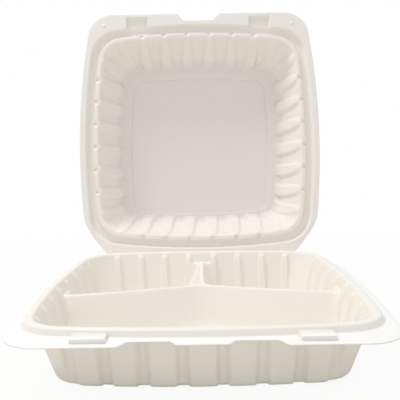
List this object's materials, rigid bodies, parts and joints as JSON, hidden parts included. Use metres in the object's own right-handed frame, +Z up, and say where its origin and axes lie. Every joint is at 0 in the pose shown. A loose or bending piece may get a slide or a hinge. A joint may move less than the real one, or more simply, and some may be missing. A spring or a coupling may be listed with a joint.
{
  "type": "hinged takeout container",
  "caption": "Square hinged takeout container with fluted walls, dividers between its compartments, a living hinge along the back and a snap latch at the front, shown open.",
  "frame": {"origin": "middle of the tray's base, on the table", "axes": "+X to the right seen from the latch side, +Y to the back where the hinge is, +Z up"},
  "size_m": [0.23, 0.3062, 0.2654],
  "materials": {
    "tray": "white mineral-filled polypropylene, satin",
    "lid": "white mineral-filled polypropylene, satin"
  },
  "bodies": {
    "tray": {"tray": "tray"},
    "lid": {"lid": "lid"}
  },
  "joints": [
    {"name": "living_hinge", "type": "hinge", "parent": "tray", "child": "lid", "pos_m": [0, 0.114, 0.0354], "axis": [-1, 0, 0], "range_deg": [-101.3, 78.7]}
  ]
}
